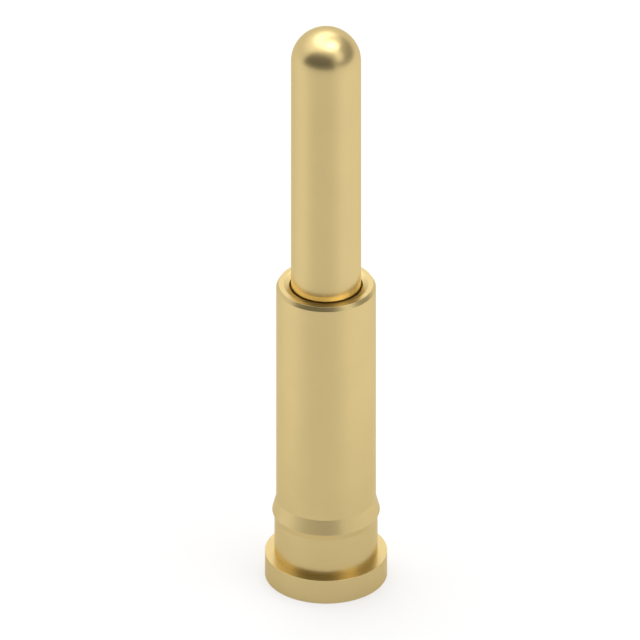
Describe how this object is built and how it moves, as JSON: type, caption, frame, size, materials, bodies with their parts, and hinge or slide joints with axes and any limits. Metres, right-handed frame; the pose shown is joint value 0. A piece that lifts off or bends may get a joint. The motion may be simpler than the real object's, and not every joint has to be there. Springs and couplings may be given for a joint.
{
  "type": "pogo pin",
  "caption": "Spring-loaded contact pin: a round-nosed plunger slides in a turned barrel with a retaining barb and a flat solder flange.",
  "frame": {"origin": "centre of the solder face, at the bottom of the flange", "axes": "+Z along the pin's axis, from the solder face to the round contact nose"},
  "size_m": [0.0018, 0.0018, 0.0096],
  "materials": {
    "gold_plate": "satin gold plating over turned brass",
    "spring_steel": "drawn stainless wire, ends ground flat"
  },
  "bodies": {
    "barrel": {"barrel": "gold_plate", "spring": "spring_steel"},
    "plunger": {"plunger": "gold_plate"}
  },
  "joints": [
    {"name": "plunger_slide", "type": "slide", "parent": "barrel", "child": "plunger", "axis": [0, 0, -1], "range_m": [0, 0.0014], "stiffness_N_per_m": 860, "deforming": ["spring"]}
  ]
}
